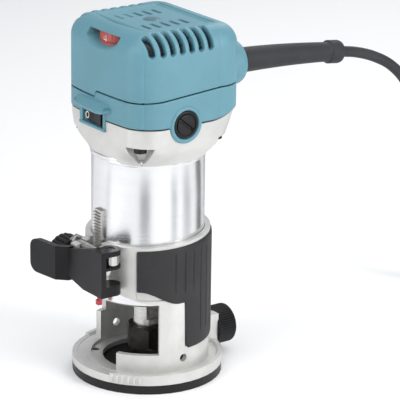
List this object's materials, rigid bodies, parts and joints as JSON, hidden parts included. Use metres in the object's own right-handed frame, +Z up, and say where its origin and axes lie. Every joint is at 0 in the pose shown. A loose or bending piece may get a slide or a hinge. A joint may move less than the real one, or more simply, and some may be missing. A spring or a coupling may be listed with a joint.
{
  "type": "trim router",
  "caption": "Palm trim router: motor unit in a cast base with clamp lever, height knob, collet, speed dial, switch and mains cord.",
  "frame": {"origin": "middle of the machine's footprint on the surface it stands on, its free cord left out", "axes": "+Z up along the spindle, -Y the front with switch, dial and cutter window, +Y the back where the cord leaves, +X to the side of the clamp pin"},
  "size_m": [0.1112, 0.3799, 0.2098],
  "materials": {
    "cast_aluminium": "cast and bead-blasted silver grey",
    "turned_aluminium": "fine turned and satin",
    "teal_plastic": "fine-textured teal moulding",
    "black_plastic": "satin black moulding",
    "grip_rubber": "dark grey rubber",
    "steel": "ground steel",
    "dark_steel": "blackened steel",
    "red_plastic": "rust red moulding",
    "pointer_red": "red moulding",
    "copper": "enamelled copper wire",
    "carbon": "pressed carbon",
    "brass": "pressed brass",
    "laminated_steel": "stacked sheet steel",
    "board": "glass fibre board",
    "cord_rubber": "black rubber sheath"
  },
  "bodies": {
    "base": {"base_casting": "cast_aluminium", "sole_plate": "black_plastic", "sole_screw_1": "steel", "sole_screw_2": "steel", "sole_screw_3": "steel", "sole_screw_4": "steel", "grip_pad_right": "grip_rubber", "grip_pad_left": "grip_rubber", "clamp_bolt": "steel", "clamp_nut": "steel", "thrust_washer": "steel", "depth_pointer": "pointer_red", "power_cord": "cord_rubber", "cord_coil": "cord_rubber", "plug": "cord_rubber", "cable_tie": "black_plastic"},
    "lever": {"locking_lever": "black_plastic", "lever_pin": "dark_steel"},
    "height_drive": {"pinion_shaft": "steel", "adjusting_knob": "black_plastic", "knob_screw": "steel"},
    "guide_washer": {"guide_clamp_washer": "steel"},
    "guide_screw": {"guide_clamp_screw": "black_plastic"},
    "motor": {"motor_housing": "turned_aluminium", "depth_rack": "steel", "front_bearing": "steel", "rear_bearing": "steel", "bearing_bracket": "black_plastic", "stator_core": "laminated_steel", "field_winding_upper": "copper", "field_winding_lower": "copper", "fan_baffle": "black_plastic", "brush_holder_left": "brass", "brush_holder_right": "brass", "carbon_brush_left": "carbon", "carbon_brush_right": "carbon", "brush_spring_left": "steel", "brush_spring_right": "steel", "brush_cap_left": "black_plastic", "brush_cap_right": "black_plastic", "lower_cover": "teal_plastic", "head_cover": "teal_plastic", "head_screw": "steel", "housing_screw_1": "dark_steel", "housing_screw_2": "dark_steel", "housing_screw_3": "dark_steel", "housing_screw_4": "dark_steel", "control_board": "board", "switch_body": "black_plastic", "cord_guard": "cord_rubber", "cord_clamp": "black_plastic"},
    "spindle": {"armature_shaft": "steel", "armature_core": "laminated_steel", "commutator": "copper", "cooling_fan": "black_plastic"},
    "collet": {"collet_cone": "steel"},
    "collet_nut": {"collet_nut": "dark_steel"},
    "dial": {"speed_dial": "red_plastic"},
    "rocker": {"switch_rocker": "black_plastic"}
  },
  "joints": [
    {"name": "depth_slide", "type": "slide", "parent": "base", "child": "motor", "axis": [0, 0, 1], "range_m": [-0.025, 0.015]},
    {"name": "knob_turn", "type": "hinge", "parent": "base", "child": "height_drive", "pos_m": [0, -0.04228, 0.0715], "axis": [1, 0, 0], "range_deg": [-320, 195]},
    {"name": "lever_swing", "type": "hinge", "parent": "base", "child": "lever", "pos_m": [0.0195, -0.0411, 0.08], "axis": [0, 0, 1], "range_deg": [0, 110]},
    {"name": "spindle_turn", "type": "hinge", "parent": "motor", "child": "spindle", "pos_m": [0, -0.0025, 0.1], "axis": [0, 0, 1], "continuous": true},
    {"name": "collet_travel", "type": "slide", "parent": "spindle", "child": "collet", "axis": [0, 0, -1], "range_m": [0, 0.0055]},
    {"name": "nut_turn", "type": "hinge", "parent": "collet", "child": "collet_nut", "pos_m": [0, -0.0025, 0.02], "axis": [0, 0, -1], "range_deg": [0, 1440]},
    {"name": "dial_turn", "type": "hinge", "parent": "motor", "child": "dial", "pos_m": [0, -0.0201, 0.2], "axis": [0, 0, 1], "range_deg": [-130, 130]},
    {"name": "switch_rock", "type": "hinge", "parent": "motor", "child": "rocker", "pos_m": [-0.004, -0.0335, 0.157], "axis": [0, 0, 1], "range_deg": [0, 9]},
    {"name": "guide_advance", "type": "slide", "parent": "base", "child": "guide_washer", "axis": [0, 1, 0], "range_m": [0, 0.0045]},
    {"name": "guide_screw_turn", "type": "hinge", "parent": "guide_washer", "child": "guide_screw", "pos_m": [0, 0.048, 0.0155], "axis": [0, 1, 0], "range_deg": [0, 1440]}
  ],
  "couplings": [
    {"joint": "knob_turn", "follows": "depth_slide", "rad_per_m": 218.17},
    {"joint": "collet_travel", "follows": "nut_turn", "m_per_rad": 0.00019894},
    {"joint": "guide_advance", "follows": "guide_screw_turn", "m_per_rad": 0.00015915}
  ]
}
